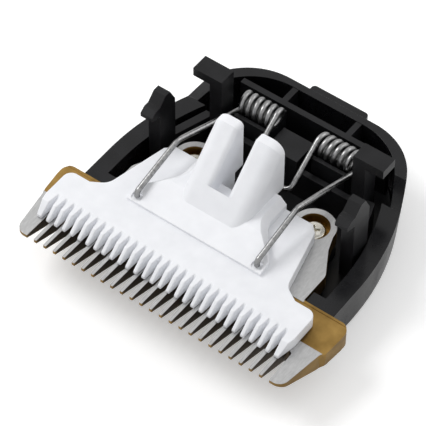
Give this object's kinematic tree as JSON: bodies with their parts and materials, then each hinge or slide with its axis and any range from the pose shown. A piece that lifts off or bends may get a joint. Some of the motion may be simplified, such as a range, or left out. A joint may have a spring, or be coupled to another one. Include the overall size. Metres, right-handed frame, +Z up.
{
  "type": "pet clipper blade head",
  "caption": "Detachable pet clipper head: gold-edged steel comb, white ceramic cutter with drive yoke, wire pressure spring and black base with latch posts.",
  "frame": {"origin": "centre of the bounding box on the underside, the face the head lies on", "axes": "+X along the row of teeth, +Y from the teeth back to the hinge tongue, +Z up from the base to the yoke prongs"},
  "size_m": [0.0468, 0.0448, 0.0197],
  "materials": {
    "gloss_black": "moulded, glossy outside",
    "matte_black": "moulded, satin",
    "blade_steel": "ground cutting face, gold-bronze coat elsewhere",
    "white_ceramic": "fine ground",
    "white_plastic": "satin moulded",
    "spring_steel": "bright drawn wire",
    "plated_screw": "yellow plated",
    "insert_brass": "turned"
  },
  "bodies": {
    "head": {"base_shell": "gloss_black", "latch_frame": "matte_black", "stationary_blade": "blade_steel", "pressure_spring": "spring_steel", "blade_screw_left": "plated_screw", "blade_screw_right": "plated_screw", "threaded_insert_left": "insert_brass", "threaded_insert_right": "insert_brass"},
    "cutter": {"moving_blade": "white_ceramic", "drive_yoke": "white_plastic"}
  },
  "joints": [
    {"name": "cutting_stroke", "type": "slide", "parent": "head", "child": "cutter", "axis": [1, 0, 0], "range_m": [-0.0003, 0.0022], "deforming": ["pressure_spring"]}
  ]
}
